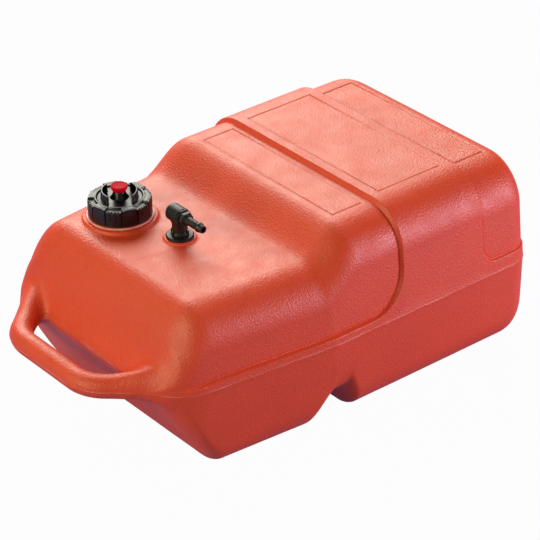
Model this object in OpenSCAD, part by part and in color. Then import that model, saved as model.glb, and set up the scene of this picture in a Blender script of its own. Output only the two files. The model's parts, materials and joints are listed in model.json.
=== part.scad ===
// Portable marine fuel tank: one blow-moulded body with a hollow front handle, a vented screw
// cap and a swivelling fuel pickup. Millimetres, +Z up, the handle points along -X.
// The origin is under the middle of the whole tank, on the plane that it stands on.

/* [Tank] */
// Length of the moulded body, without its handle
body_length = 462.3; // [445:0.1:490]
// Width of the body at its parting line
body_width = 323; // [300:1:340]
// Height of the raised band across the middle
body_height = 211.5; // [206:0.5:225]
// Height of the parting line above the base
parting_height = 97.5; // [90:0.5:102]
// Width of the body at its front corners
front_width = 288; // [270:1:296]
// Wall thickness of the moulding
wall = 4; // [3:0.5:5]
// Depth of the front top panel below the raised band
front_panel_drop = 5; // [3:0.5:7]
// Depth of the rear top panel below the raised band
rear_panel_drop = 5.5; // [3:0.5:7]
// How far the front upper half is set in from the tray
front_step = 4; // [2:0.5:6]
// How far the rear upper half is set in from the tray
rear_step = 2.2; // [1:0.2:4]
// Distance from the rear wall to the front step of the band
band_front = 179.5; // [170:0.5:190]
// Distance from the rear wall to the rear step of the band
band_rear = 71.8; // [64:0.2:80]
// Height of the front ledge above the parting line
front_ledge = 7.5; // [6:0.5:12]
// Height of the rear ledge above the parting line
rear_ledge = 13.5; // [10:0.5:18]
// Radius where the front ledge turns up into the band
front_ledge_radius = 45; // [35:1:55]
// Radius where the rear ledge turns up into the band
rear_ledge_radius = 19; // [14:1:24]
// Radius of the long top edges along the band
shoulder_radius = 47; // [38:1:52]
// Radius of the long top edges of the front half
front_shoulder_radius = 43; // [34:1:48]
// Radius of the bottom edges at the rear
bottom_radius = 36; // [28:1:42]
// Radius of the bottom edges at the front
front_bottom_radius = 26; // [20:1:34]
// Radius of the front corners, seen from above
front_corner_radius = 36; // [28:1:44]
// Radius of the rear corners, seen from above
rear_corner_radius = 29; // [22:1:36]
// Radius of the rear top edge
rear_edge_radius = 23; // [16:1:30]

/* [Deck and front] */
// Depth of the sunken deck below the raised band
deck_drop = 35; // [30:0.5:42]
// Distance from the front edge to the foot of the slope behind the deck
slope_foot = 179; // [172:1:186]
// Length of the slope behind the deck
slope_length = 50; // [40:1:60]
// Rise of the front face for each millimetre of length
front_rise = 2.04; // [1.8:0.02:2.3]
// Distance that the front face undercuts from its edge to the base
undercut = 53; // [45:1:60]

/* [Strap channel] */
// Height of the channel across the underside
channel_height = 28; // [20:1:34]
// Distance from the front edge to the front of the channel's roof
channel_start = 198; // [190:1:204]
// Length of the channel's roof
channel_roof = 12; // [8:1:20]
// Length of the channel's front ramp
channel_front_ramp = 36; // [28:1:42]
// Length of the channel's rear ramp
channel_rear_ramp = 15; // [10:1:22]

/* [Panel lines] */
// Half the width of the three outlined panels
panel_half = 105; // [90:1:108]
// Width of the moulded outline
line_width = 1.2; // [0.8:0.1:2]
// Depth of the moulded outline
line_depth = 0.6; // [0.4:0.1:1]

/* [Handle] */
// Reach of the handle in front of the body
handle_reach = 54.3; // [50:0.1:64]
// Thickness of the grip
grip_diameter = 24.8; // [22:0.2:28]
// Half the straight length of the grip
grip_half = 40; // [34:1:46]
// Radius of the grip's corners at their middle
grip_corner = 40; // [34:1:46]
// Angle that each corner turns through
grip_turn = 41.5; // [39:0.5:44]
// Length of each straight arm
arm_length = 60; // [56:1:64]
// Radius of the bend where each arm enters the body
root_bend = 25; // [20:1:30]
// Half the thickness of each arm where it enters the body
root_radius = 15; // [13:0.5:17]

/* [Filler neck and cap] */
// Distance from the front edge to the filler's axis
filler_from_front = 101; // [96:1:108]
// Distance of the filler's axis from the middle of the tank
filler_offset = 73.5; // [70:0.5:78]
// Inside radius of the filler neck
neck_bore = 22; // [19:0.5:23]
// Outside radius of the filler neck
neck_radius = 27; // [26.5:0.5:29]
// Height of the neck's rim above the deck
neck_height = 15.5; // [13:0.5:18]
// How far the collar reaches beyond the cap
collar_margin = 5.5; // [4:0.5:8]
// Height of the collar above the deck
collar_height = 3.5; // [2:0.5:5]
// Gap between the collar's lip and the cap
skirt_clearance = 1; // [0.6:0.1:2]
// Thickness of the cap's skirt
skirt_wall = 3.6; // [3:0.1:5]
// Radial play between the cap's skirt and the neck
thread_play = 2.4; // [1.8:0.1:3]
// Thickness of the cap's top
cap_top = 3.5; // [2.5:0.1:5]
// Rise of the crown ring above the skirt's upper edge
crown_rise = 3; // [2:0.2:4]
// Depth of the cap's face below the crown ring
face_depth = 1.6; // [1:0.1:2.4]
// Number of rim segments, every other one notched
cap_segments = 12; // [8:2:16]
// Number of grooves round the skirt
skirt_grooves = 24; // [16:4:36]
// Height of the two finger lugs
lug_height = 6.5; // [4:0.5:8]
// Direction of the line that joins the two finger lugs
lug_angle = -19; // [-90:1:90]
// Thickness of the neck gasket
gasket_thickness = 2.5; // [1.5:0.1:3]
// How far the gasket's hole stands back from the neck's bore
gasket_margin = 1.2; // [0.8:0.1:2]
// How far the neck widens at its mouth
mouth_widening = 0.8; // [0.5:0.1:1]
// Thickness of the pressure plate on the gasket
plate_thickness = 2; // [1.5:0.1:3]

/* [Vent] */
// Radius of the vent knob
knob_radius = 8.6; // [7:0.1:10]
// Height of the vent knob
knob_height = 4.4; // [3.4:0.1:6]
// Radius of the vent stem
stem_radius = 2.6; // [2.2:0.1:3]
// Height of the boss that carries the vent
boss_height = 8.6; // [6:0.2:11]
// Travel of the vent from shut to open
vent_travel = 3; // [2:0.5:4]

/* [Pickup] */
// Distance from the front edge to the pickup's axis
pickup_from_front = 121; // [117:1:128]
// Radius of the bush's flange
flange_radius = 14.4; // [13.4:0.2:16]
// Thickness of the bush's flange
flange_thickness = 2.6; // [2:0.2:4]
// Thickness of the gasket under the flange
bush_gasket_thickness = 0.8; // [0.6:0.1:2]
// Height of the moulded boss under the pickup
boss_rise = 2.2; // [1.5:0.1:3]
// Outside radius of the bush below its flange
bush_radius = 10.5; // [9.8:0.1:11.5]
// Inside radius of the bush, where the elbow turns
bush_bore = 7; // [6.4:0.1:7.4]
// Radius of the elbow's upright stem
elbow_stem_radius = 7.7; // [7.5:0.1:8.5]
// Height of the elbow's outlet above the deck
outlet_height = 26.5; // [24:0.5:30]
// Radius of the elbow's barrel
barrel_radius = 9.2; // [8.8:0.1:10]
// Length of the barrel in front of the stem's axis
barrel_front = 8; // [8:0.5:11]
// Length of the barrel behind the stem's axis
barrel_rear = 13.5; // [11:0.5:16]
// Radius of the flow passages
passage_radius = 2.6; // [2:0.1:3]
// Outside radius of the dip tube
tube_radius = 4.7; // [4:0.1:5]
// Wall thickness of the dip tube
tube_wall = 1.2; // [0.8:0.1:1.5]
// Gap between the strainer and the tank's floor
strainer_clearance = 3; // [2:0.5:6]
// Outside radius of the strainer cage
cage_radius = 9; // [8.4:0.2:10]
// Height of the strainer cage
cage_height = 26; // [20:1:34]
// Number of bars in the strainer cage
cage_bars = 8; // [6:1:10]

/* [Hose tail] */
// Distance between opposite flats of the hexagon
hex_flats = 14; // [12:0.5:15]
// Thickness of the hexagon
hex_thickness = 5; // [4:0.5:7]
// Radius of the hose tail
tail_radius = 4.3; // [3.9:0.1:4.7]
// Radius over the barb
barb_radius = 5.2; // [4.9:0.1:5.8]
// Length of the hose tail beyond the hexagon
tail_length = 26; // [22:1:28]
// Radius of the bore through the hose tail
tail_bore = 2.6; // [1.8:0.1:2.8]
// Radius of the hose tail's screwed end
screw_radius = 5.2; // [4.8:0.1:5.6]
// Length of the hose tail's screwed end
screw_depth = 6; // [5:0.5:6.5]

/* [Hidden] */
$fn = 64;

// Clearances
running_gap = 0.08; // radial play of a turning fit
seat_gap = 0.15; // play of a fixed seat
free_gap = 0.3; // gap between pieces that only pass each other
cut = 1; // how far a cutter runs past what it cuts

// Places along the tank
x_rear = (body_length + handle_reach) / 2;
x_front = x_rear - body_length;
x_band_front = x_rear - band_front;
x_band_rear = x_rear - band_rear;
x_foot = x_front + slope_foot;
x_crest = x_foot + slope_length;
x_roof = x_front + channel_start;
taper_start = x_front + body_length * 0.075;
taper_end = x_front + body_length * 0.41;

// Heights
deck_height = body_height - deck_drop;
z_band = body_height;
z_front_top = body_height - front_panel_drop;
z_rear_top = body_height - rear_panel_drop;
front_edge_round = 3.5; // half height of the rounded front edge
upper_draft = 0.09;
lower_draft = 0.035;
crest_blend = 16;
toe_blend = 18;
riser = 1; // half the length of a step's riser
ledge_slope = 1.5; // height that a ledge climbs over its width
least_ledge = 0.5; // a ledge stays at least this far above the parting line
step_fade = 60; // length over which the front step dies out

// Small helpers
function clamp(v, lo, hi) = max(lo, min(hi, v));
function ease(t) = let (c = clamp(t, 0, 1)) c * c * (3 - 2 * c);
function mix(a, b, t) = a + (b - a) * t;
// How far a rounded edge of radius r stands back at distance d from its end
function round_in(d, r) = d >= r ? 0 : r - sqrt(max(0, r * r - (r - d) * (r - d)));
function soft_min(a, b, k) = let (h = clamp(0.5 + 0.5 * (b - a) / k, 0, 1)) b * (1 - h) + a * h - k * h * (1 - h);
function soft_max(a, b, k) = -soft_min(-a, -b, k);
function sort_up(v) = len(v) < 2 ? v :
    let (p = v[floor(len(v) / 2)])
    concat(sort_up([for (a = v) if (a < p) a]), [p], sort_up([for (a = v) if (a > p) a]));
// Keeps the stations that lie clear of the one before
function thin_out(v, gap) = [for (i = [0:len(v) - 1]) if (i == 0 || v[i] - v[i - 1] > gap) v[i]];

// The skin of the tank: every function takes x and the depth t below the outer surface
function half_width(x, t) =
    mix(front_width, body_width, clamp((x - taper_start) / (taper_end - taper_start), -0.2, 1)) / 2 - t
    - round_in(x - x_front - t, front_corner_radius - t)
    - round_in(x_rear - t - x, rear_corner_radius - t);
function front_face(x, t) =
    let (d = x - x_front)
    parting_height + max(0, (d - 2.3) * front_rise) - t * sqrt(1 + front_rise * front_rise)
    + (t > 0 ? 0 : min(front_edge_round, 1 + sqrt(max(0, 4 * d))) * max(0, 1 - d / 12));
function front_top(x, t) =
    soft_min(mix(deck_height, z_front_top, ease((x - x_foot) / (x_crest - x_foot))) - t, front_face(x, t), crest_blend);
function rear_top(x, t) = z_rear_top - t - round_in(x_rear - t - x, rear_edge_radius - t);
function top_height(x, t) =
    x > x_band_rear - t ? rear_top(x, t) :
    x > x_band_front + t ? z_band - t :
    front_top(x, t);
function undercut_face(x, t) =
    let (fall = (parting_height - front_edge_round) / undercut)
    parting_height - front_edge_round - (x - x_front) * fall + t * sqrt(1 + fall * fall);
function channel_roof_height(x, t) =
    channel_height * ease((x - x_roof + channel_front_ramp + t / 2) / channel_front_ramp)
    * ease((x_roof + channel_roof + channel_rear_ramp + t - x) / channel_rear_ramp) + t;
function bottom_height(x, t) =
    max(channel_roof_height(x, t),
        soft_max(round_in(x_rear - t - x, bottom_radius - t) + t, undercut_face(x, t), toe_blend));
function step_in(x, t) =
    x <= x_band_front + t ? front_step * ease((x - x_front - 16) / step_fade) :
    x < x_band_rear - t ? 0.02 :
    rear_step;
function front_ledge_height(x, t) =
    parting_height + front_ledge - t - 5 * (1 - ease((x - x_front - 16) / step_fade))
    + round_in(x_band_front + t - x, front_ledge_radius + t);
function rear_ledge_height(x, t) =
    parting_height + rear_ledge - t + round_in(x - x_band_rear + t, rear_ledge_radius + t);
function ledge_height(x, t) =
    x <= x_band_front + t ? front_ledge_height(x, t) :
    x >= x_band_rear - t ? rear_ledge_height(x, t) :
    mix(front_ledge_height(x_band_front + t, t), rear_ledge_height(x_band_rear - t, t),
        (x - x_band_front - t) / (x_band_rear - x_band_front - 2 * t));

// Half of one cross-section, from the middle of the floor round to the middle of the top
function half_section(x, t, low_steps, high_steps) =
    let (
        w = half_width(x, t),
        zt = top_height(x, t),
        zb = bottom_height(x, t),
        zp = parting_height,
        zl = zp + min(max(ledge_height(x, t) - zp, least_ledge), (zt - zp) * 0.6),
        slope = min(ledge_slope, (zt - zl) * 0.15),
        step = step_in(x, t),
        rl = min(mix(front_bottom_radius, bottom_radius, clamp((x - x_front) / slope_foot - 0.3, 0, 0.84) / 0.84) - t, (zp - zb) * 0.85),
        rlw = max(rl, 12 - t),
        rs = min((x < x_band_front + t ? front_shoulder_radius : shoulder_radius) - t, (zt - zl - slope) * 0.95),
        rsw = min(max(rs, 30 - t), w * 0.5),
        y_low = w - lower_draft * (zp - zb - rl) - rlw,
        zs = zt - rs,
        y_foot = w - upper_draft * (zl + slope - zp) - step,
        y_wall = w - upper_draft * (zs - zp) - step
    )
    concat(
        [[0, zb], [y_low / 2, zb]],
        [for (i = [0:low_steps]) let (a = 90 * i / low_steps) [y_low + rlw * sin(a), zb + rl * (1 - cos(a))]],
        [[w, zp], [w - upper_draft * (zl - zp), zl], [y_foot, zl + slope]],
        [[(y_foot + y_wall) / 2, (zl + slope + zs) / 2]],
        [for (i = [0:high_steps]) let (a = 90 * i / high_steps) [y_wall - rsw + rsw * cos(a), zs + rs * sin(a)]],
        [[(y_wall - rsw) / 2, zt], [0, zt]]
    );
function ring(x, t, low_steps, high_steps) =
    let (half = half_section(x, t, low_steps, high_steps))
    concat(
        [for (p = half) [x, -p[0], p[1]]],
        [for (i = [len(half) - 2:-1:1]) [x, half[i][0], half[i][1]]]
    );

function middle(points) = [for (k = [0:2]) (min([for (p = points) p[k]]) + max([for (p = points) p[k]])) / 2];
// Joins a list of closed rings of equal length into one closed solid, with a middle point in each end
module loft(rings) {
    n = len(rings);
    m = len(rings[0]);
    sides = [for (i = [0:n - 2]) for (j = [0:m - 1])
        let (a = i * m + j, b = i * m + (j + 1) % m)
        each [[a, b, b + m], [a, b + m, a + m]]];
    last = (n - 1) * m;
    start = [for (j = [0:m - 1]) [(j + 1) % m, j, n * m]];
    end = [for (j = [0:m - 1]) [last + j, last + (j + 1) % m, n * m + 1]];
    points = concat([for (r = rings) each r], [middle(rings[0]), middle(rings[n - 1])]);
    polyhedron(points, concat(sides, start, end), convexity = 6);
}

// Stations of the outer skin, close together where the surface turns
front_stations = concat(
    [for (i = [0:9]) x_front + front_corner_radius * pow(i / 6, 2) * 0.62],
    [for (f = [0.42, 0.56, 0.76]) mix(x_front, x_foot, f)]
);
slope_stations = [for (i = [-1:8]) mix(x_foot, x_crest, i / 8)];
ledge_stations = [for (a = [15:15:75]) x_band_front - front_ledge_radius * (1 - sin(a))];
band_stations = [x_band_front - riser, x_band_front + riser, mix(x_band_front, x_band_rear, 0.5), x_band_rear - riser];
rear_stations = [for (f = [0.05, 0.2, 0.5, 1]) x_band_rear + rear_ledge_radius * f];
end_stations = [for (a = [0:11.25:90]) x_rear - bottom_radius * (1 - sin(a))];
channel_stations = concat(
    [for (i = [0:5]) x_roof - channel_front_ramp * i / 5],
    [for (i = [0:3]) x_roof + channel_roof + channel_rear_ramp * i / 3]
);
outer_stations = thin_out(sort_up(concat(
    front_stations, slope_stations, ledge_stations, band_stations, rear_stations, end_stations, channel_stations)), 0.6);
inner_stations = thin_out(sort_up(concat(
    [for (d = [2.7, 4, 6, 9, 13, 20, 30]) x_front + d * wall],
    [for (i = [0:4]) mix(x_foot, x_crest, i / 4)],
    [for (a = [15:25:65]) x_band_front + wall - (front_ledge_radius + wall) * (1 - sin(a))],
    [x_band_front + wall - riser, x_band_front + wall + riser, x_band_rear - wall - riser, x_band_rear - wall + riser],
    [for (f = [0.2, 0.9]) x_band_rear - wall + (rear_ledge_radius + wall) * f],
    [for (a = [0:22.5:90]) x_rear - wall - (bottom_radius - wall) * (1 - sin(a))],
    [for (i = [0:3]) x_roof - channel_front_ramp * i / 3 - wall / 2],
    [for (i = [0:3]) x_roof + channel_roof + wall + channel_rear_ramp * i / 3]
)), 1.5);

// The handle's middle line from the grip's middle to one arm's root: x, y, direction, radius and bore
grip_radius = grip_diameter / 2;
grip_bore = grip_radius - wall;
root_bore = 6.5;
root_turn = 85;
x_grip = x_front - handle_reach + grip_radius;
corner_end = [x_grip + grip_corner * (1 - cos(grip_turn)), grip_half + grip_corner * sin(grip_turn)];
arm_end = corner_end + arm_length * [sin(grip_turn), cos(grip_turn)];
half_handle = concat(
    [for (i = [1:5])
        let (a = grip_turn * i / 5)
        [x_grip + grip_corner * (1 - cos(a)), grip_half + grip_corner * sin(a), a, grip_radius, grip_bore]],
    [for (i = [1:3])
        let (p = corner_end + arm_length * i / 3 * [sin(grip_turn), cos(grip_turn)])
        [p[0], p[1], grip_turn, mix(grip_radius, root_radius, i / 8), mix(grip_bore, root_bore, i / 3)]],
    [for (i = [1:4])
        let (a = mix(grip_turn, root_turn, i / 4))
        [arm_end[0] + root_bend * (cos(grip_turn) - cos(a)), arm_end[1] + root_bend * (sin(a) - sin(grip_turn)), a,
            mix(grip_radius, root_radius, min(1, 0.4 + i / 6)), root_bore]]
);
grip_middle = [for (y = [-1, 0, 1]) [x_grip, y * grip_half, 0, grip_radius, grip_bore]];
handle_line = concat(
    [for (i = [len(half_handle) - 1:-1:0]) let (p = half_handle[i]) [p[0], -p[1], -p[2], p[3], p[4]]],
    grip_middle,
    half_handle
);
// The handle's outside (size 3) or its hollow (size 4)
module handle_bar(size, sides) {
    loft([for (p = handle_line) [for (j = [0:sides - 1])
        let (a = -360 * (j + 0.5) / sides, u = p[size] * cos(a))
        [p[0] - u * cos(p[2]), p[1] + u * sin(p[2]), parting_height + p[size] * sin(a)]]]);
}

// Filler and pickup places
filler = [x_front + filler_from_front, filler_offset, deck_height];
pickup = [x_front + pickup_from_front, 0, deck_height];
root_depth = wall + 0.5; // how far the neck is rooted below the deck
boss_depth = 12; // how far the pickup's boss reaches below the deck

// Cap sizes, with heights above the deck
skirt_bore = neck_radius + thread_play;
cap_radius = skirt_bore + skirt_wall;
collar_radius = cap_radius + collar_margin;
lip_radius = cap_radius + 0.6;
lip_height = collar_height + 1.6;
rim = neck_height;
mouth_base = rim - 7; // height where the neck starts to widen
plate_base = rim + gasket_thickness;
cap_inside = plate_base + plate_thickness;
cap_face = cap_inside + cap_top;
crown_radius = cap_radius * 0.757;
crown_top = cap_face + face_depth;
skirt_top = crown_top - crown_rise;
skirt_base = lip_height + skirt_clearance;
notch = 2; // width and depth of a rim notch
lug_bend = 21.5; // outer radius of a finger lug
lug_thickness = 3;
lug_reach = 18.5; // how far a finger lug's outer face stands from the axis

// Vent sizes, with heights above the deck
hub_radius = stem_radius + 5.4;
plate_collar = 2; // depth of the pressure plate's collar
hub_lip = 1.2; // width of the lip that holds the plate in the cap
hub_lip_height = 1.5;
hub_base = plate_base - plate_collar;
hub_low = hub_base - hub_lip_height;
boss_top = cap_face + boss_height;
boss_top_radius = stem_radius + 2.6;
seal_thickness = 1;
knob_base = boss_top + seal_thickness;
neck_down = 0.8; // depth of the steps and the grooves of the vent stem
clip_thickness = 1.2;
clip_base = hub_low - vent_travel - clip_thickness - free_gap;
stem_low = clip_base - 1.2;

// Pickup heights above the deck
pad_radius = flange_radius + 1.6;
pad_step = 0.3; // how far the pad lies below the boss's face
boss_radius = bush_radius + 3;
flange_base = boss_rise + bush_gasket_thickness;
flange_top = flange_base + flange_thickness;
bush_low = -20; // lower end of the bush
bush_seat = -8; // floor of the bore that the elbow turns in
socket_top = -14; // upper end of the dip tube's socket
clip_z = -5.5; // underside of the elbow's retaining clip
clip_height = 1;
clip_bite = 1.1; // depth of the clip's groove in the elbow
ring_z = -1; // middle of the elbow's sealing ring
ring_section = 0.7;
ring_groove = 1.8; // depth of the sealing ring's groove
foot = flange_top + free_gap;
foot_radius = elbow_stem_radius + 1.6;
foot_lobes = 6;
floor_z = wall - deck_height;
cage_base = floor_z + strainer_clearance;
cage_floor = 2;
cage_collar = 6; // height of the cage's upper ring
bar_thickness = 1.6;
screen_thickness = 0.8;
tube_base = cage_base + cage_floor + 6;

// Hose tail sizes, measured along its axis from the pickup's axis
ring_gap = 0.6; // thickness of the ring between the elbow and the hexagon
hex_y = barrel_front + ring_gap;
tail_y = hex_y + hex_thickness;
barb_length = 9;
barb_land = 2.5;

module panel_line(x0, x1, z) {
    translate([0, 0, z - line_depth])
        linear_extrude(line_depth + cut)
            difference() {
                translate([x0, -panel_half]) square([x1 - x0, 2 * panel_half]);
                translate([x0 + line_width, -panel_half + line_width])
                    square([x1 - x0 - 2 * line_width, 2 * (panel_half - line_width)]);
            }
}

// The moulded collar round the neck and the pad under the pickup
module collar() {
    translate(filler) rotate_extrude($fn = 80) polygon([
        [0, -root_depth], [collar_radius - 1.5, -root_depth], [collar_radius, -1], [collar_radius, collar_height - 1],
        [collar_radius - 1, collar_height], [0, collar_height]
    ]);
}
module pad() {
    translate(pickup) rotate_extrude($fn = 48) polygon([
        [0, -root_depth], [pad_radius - 1, -root_depth], [pad_radius, -1], [pad_radius, boss_rise - 1],
        [pad_radius - 0.8, boss_rise - pad_step], [0, boss_rise - pad_step]
    ]);
}

module mould_skin() {
    difference() {
        union() {
            loft([for (x = outer_stations) ring(x, 0, 6, 8)]);
            handle_bar(3, 16);
            collar();
            pad();
        }
        loft([for (x = inner_stations) ring(x, wall, 3, 5)]);
        handle_bar(4, 8);
        translate(filler) cylinder(r = neck_radius - 2, h = 4 * wall, center = true, $fn = 24);
        translate(pickup) cylinder(r = boss_radius - 1.5, h = 4 * wall, center = true, $fn = 24);
        panel_line(x_band_front - 50.4, x_band_front - 9.5, z_front_top);
        panel_line(x_band_front + 10, x_band_rear - 11.6, z_band);
        panel_line(x_band_rear + 7, x_rear - rear_edge_radius, z_rear_top);
    }
}

// The neck is rooted in the collar and carries the lip that the cap closes over
module filler_neck() {
    rotate_extrude() polygon([
        [neck_bore, -root_depth - 0.5], [neck_radius, -root_depth - 0.5], [neck_radius, collar_height - 0.5],
        [lip_radius, collar_height - 0.5], [lip_radius, lip_height], [neck_radius, lip_height],
        [neck_radius, rim - 1], [neck_radius - 1, rim], [neck_bore + mouth_widening, rim],
        [neck_bore + mouth_widening, mouth_base], [neck_bore, mouth_base - 1]
    ]);
}

module pickup_boss() {
    rotate_extrude() polygon([
        [bush_radius + seat_gap, -boss_depth], [boss_radius, -boss_depth], [boss_radius, boss_rise],
        [bush_radius + seat_gap, boss_rise]
    ]);
}

module tank_body() {
    color([0.86, 0.24, 0.13]) union() {
        // The moulding is brought to its exact overall size
        resize([body_length + handle_reach, body_width, body_height]) mould_skin();
        translate(filler) filler_neck();
        translate(pickup) pickup_boss();
    }
}

module cap_gasket() {
    color([0.08, 0.08, 0.08]) translate(filler) translate([0, 0, rim]) difference() {
        cylinder(r = neck_radius - 0.5, h = gasket_thickness);
        translate([0, 0, -cut]) cylinder(r = neck_bore + gasket_margin, h = gasket_thickness + 2 * cut);
    }
}

module cap_plate() {
    color([0.13, 0.13, 0.14]) translate(filler) rotate_extrude() polygon([
        [hub_radius + free_gap, hub_base], [hub_radius + 3, hub_base], [hub_radius + 4, plate_base],
        [skirt_bore - free_gap, plate_base], [skirt_bore - free_gap, cap_inside], [hub_radius + free_gap, cap_inside]
    ]);
}

// Outline of the cap from above: a circle with an upright groove at each step
module cap_outline() {
    difference() {
        circle(r = cap_radius);
        for (i = [0:skirt_grooves - 1])
            rotate(360 * (i + 0.5) / skirt_grooves) translate([cap_radius + 0.35, 0]) circle(r = 1);
    }
}

module grip_lug() {
    linear_extrude(lug_height) intersection() {
        translate([lug_reach - lug_bend, 0]) difference() {
            circle(r = lug_bend);
            circle(r = lug_bend - lug_thickness);
        }
        translate([hub_radius, -crown_radius / 2]) square([crown_radius, crown_radius]);
    }
}

// Two notches across the crown in every other rim segment
module rim_notches() {
    pitch = 360 / cap_segments;
    for (i = [0:2:cap_segments - 1]) for (k = [-1, 1])
        rotate(pitch * i + k * pitch / 6) translate([crown_radius + 2, -notch / 2, skirt_top - notch * 0.8])
            cube([cap_radius - crown_radius, notch, crown_rise + 2 * notch]);
}

module cap_shell() {
    color([0.11, 0.11, 0.12]) translate(filler) difference() {
        union() {
            intersection() {
                rotate_extrude() polygon([
                    [0, cap_inside], [skirt_bore, cap_inside], [skirt_bore, skirt_base],
                    [cap_radius - 0.6, skirt_base], [cap_radius, skirt_base + 0.6], [cap_radius, skirt_top - 0.8],
                    [cap_radius - 0.8, skirt_top], [crown_radius, crown_top],
                    [crown_radius - 1, crown_top], [crown_radius - 1 - face_depth, cap_face], [0, cap_face]
                ]);
                translate([0, 0, skirt_base - cut]) linear_extrude(crown_top - skirt_base + 2 * cut) cap_outline();
            }
            // The hub carries the vent, and its lip holds the pressure plate
            rotate_extrude() polygon([
                [0, hub_low], [hub_radius + hub_lip, hub_low], [hub_radius + hub_lip, hub_base - seat_gap],
                [hub_radius, hub_base - seat_gap], [hub_radius, cap_inside], [knob_radius, cap_face],
                [boss_top_radius, boss_top], [0, boss_top]
            ]);
            translate([0, 0, cap_face]) for (side = [0, 180]) rotate(lug_angle + side) grip_lug();
        }
        translate([0, 0, hub_low - cut]) cylinder(r = stem_radius + running_gap, h = boss_top - hub_low + 2 * cut);
        rim_notches();
    }
}

module vent_knob() {
    color([0.80, 0.05, 0.09]) translate(filler) difference() {
        rotate_extrude() polygon([
            [0, knob_base], [boss_top_radius - 0.6, knob_base], [knob_radius, knob_base + knob_height - 1.6],
            [knob_radius, knob_base + knob_height - 0.6], [knob_radius - 0.8, knob_base + knob_height],
            [knob_radius - 2.4, knob_base + knob_height - 0.4], [0, knob_base + knob_height - 0.4]
        ]);
        translate([0, 0, knob_base - cut]) cylinder(r = stem_radius - neck_down + seat_gap, h = 2 + cut);
    }
}

module vent_stem() {
    color([0.72, 0.56, 0.25]) translate(filler) difference() {
        rotate_extrude() polygon([
            [0, stem_low], [stem_radius - 1, stem_low], [stem_radius, stem_low + 1], [stem_radius, clip_base],
            [stem_radius - neck_down, clip_base], [stem_radius - neck_down, clip_base + clip_thickness],
            [stem_radius, clip_base + clip_thickness], [stem_radius, knob_base],
            [stem_radius - neck_down, knob_base], [stem_radius - neck_down, knob_base + 2 - seat_gap],
            [0, knob_base + 2 - seat_gap]
        ]);
        // The air passes along this groove once the seal has lifted
        translate([-0.6, stem_radius - 1.2, stem_low - cut]) cube([1.2, 2, boss_top - stem_low + cut]);
    }
}

module vent_clip() {
    color([0.75, 0.76, 0.78]) translate(filler) translate([0, 0, clip_base]) difference() {
        cylinder(r = stem_radius + 2, h = clip_thickness);
        translate([0, 0, -cut]) cylinder(r = stem_radius - neck_down + 0.1, h = clip_thickness + 2 * cut);
        translate([0, -1.2, -cut]) cube([stem_radius + 3, 2.4, clip_thickness + 2 * cut]);
    }
}

module vent_seal() {
    color([0.07, 0.07, 0.07]) translate(filler) translate([0, 0, boss_top]) difference() {
        cylinder(r = boss_top_radius - 0.4, h = seal_thickness);
        translate([0, 0, -cut]) cylinder(r = stem_radius + free_gap, h = seal_thickness + 2 * cut);
    }
}

module pickup_bush() {
    color([0.12, 0.12, 0.12]) translate(pickup) difference() {
        rotate_extrude() polygon([
            [0, bush_low], [tube_radius + 2.2, bush_low], [tube_radius + 2.2, -boss_depth - 1],
            [bush_radius, -boss_depth + 0.5], [bush_radius, flange_base], [flange_radius - 0.6, flange_base],
            [flange_radius, flange_base + 0.6], [flange_radius, flange_top - 0.9], [flange_radius - 0.9, flange_top],
            [0, flange_top]
        ]);
        translate([0, 0, bush_seat]) cylinder(r = bush_bore, h = flange_top - bush_seat + cut);
        translate([0, 0, clip_z - 0.2]) cylinder(r = bush_bore + 0.7, h = clip_height + 0.4);
        translate([0, 0, bush_low - cut]) cylinder(r = passage_radius, h = bush_seat - bush_low + 2 * cut);
        translate([0, 0, bush_low - cut]) cylinder(r = tube_radius + seat_gap, h = socket_top - bush_low + cut);
    }
}

module bush_gasket() {
    color([0.10, 0.09, 0.09]) translate(pickup) translate([0, 0, boss_rise]) difference() {
        cylinder(r = flange_radius - 0.4, h = bush_gasket_thickness);
        translate([0, 0, -cut]) cylinder(r = bush_radius + seat_gap, h = bush_gasket_thickness + 2 * cut);
    }
}

module pickup_elbow() {
    spigot = bush_bore - running_gap;
    spigot_low = bush_seat + 0.4;
    clip_top = clip_z + clip_height;
    color([0.13, 0.13, 0.13]) translate(pickup) difference() {
        union() {
            rotate_extrude() polygon([
                [0, spigot_low], [spigot - 0.6, spigot_low], [spigot, spigot_low + 0.6],
                [spigot, clip_z - 0.1], [spigot - clip_bite, clip_z - 0.1], [spigot - clip_bite, clip_top + 0.1],
                [spigot, clip_top + 0.1], [spigot, ring_z - 1], [spigot - ring_groove, ring_z - 1],
                [spigot - ring_groove, ring_z + 1], [spigot, ring_z + 1], [spigot, foot], [foot_radius, foot],
                [foot_radius, foot + 1], [elbow_stem_radius, foot + 2.6], [elbow_stem_radius, outlet_height],
                [0, outlet_height]
            ]);
            for (k = [0:foot_lobes - 1])
                rotate(360 * k / foot_lobes) translate([elbow_stem_radius + 0.9, 0, foot + 0.2]) cylinder(r = 1.3, h = 3.8);
            translate([0, 0, outlet_height]) rotate([90, 0, 0]) rotate_extrude() polygon([
                [0, barrel_front], [barrel_radius - 1, barrel_front], [barrel_radius, barrel_front - 1],
                [barrel_radius, 4 - barrel_rear], [barrel_radius - 0.7, 2 - barrel_rear],
                [barrel_radius - 2.2, 0.6 - barrel_rear], [barrel_radius - 4, -barrel_rear], [0, -barrel_rear]
            ]);
        }
        translate([0, 0, spigot_low - cut]) cylinder(r = passage_radius, h = outlet_height - spigot_low + cut);
        translate([0, 0, outlet_height]) rotate([90, 0, 0]) {
            cylinder(r = passage_radius, h = barrel_front + cut);
            translate([0, 0, barrel_front - screw_depth - 0.4]) cylinder(r = screw_radius + seat_gap, h = screw_depth + 1 + cut);
        }
    }
}

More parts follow.
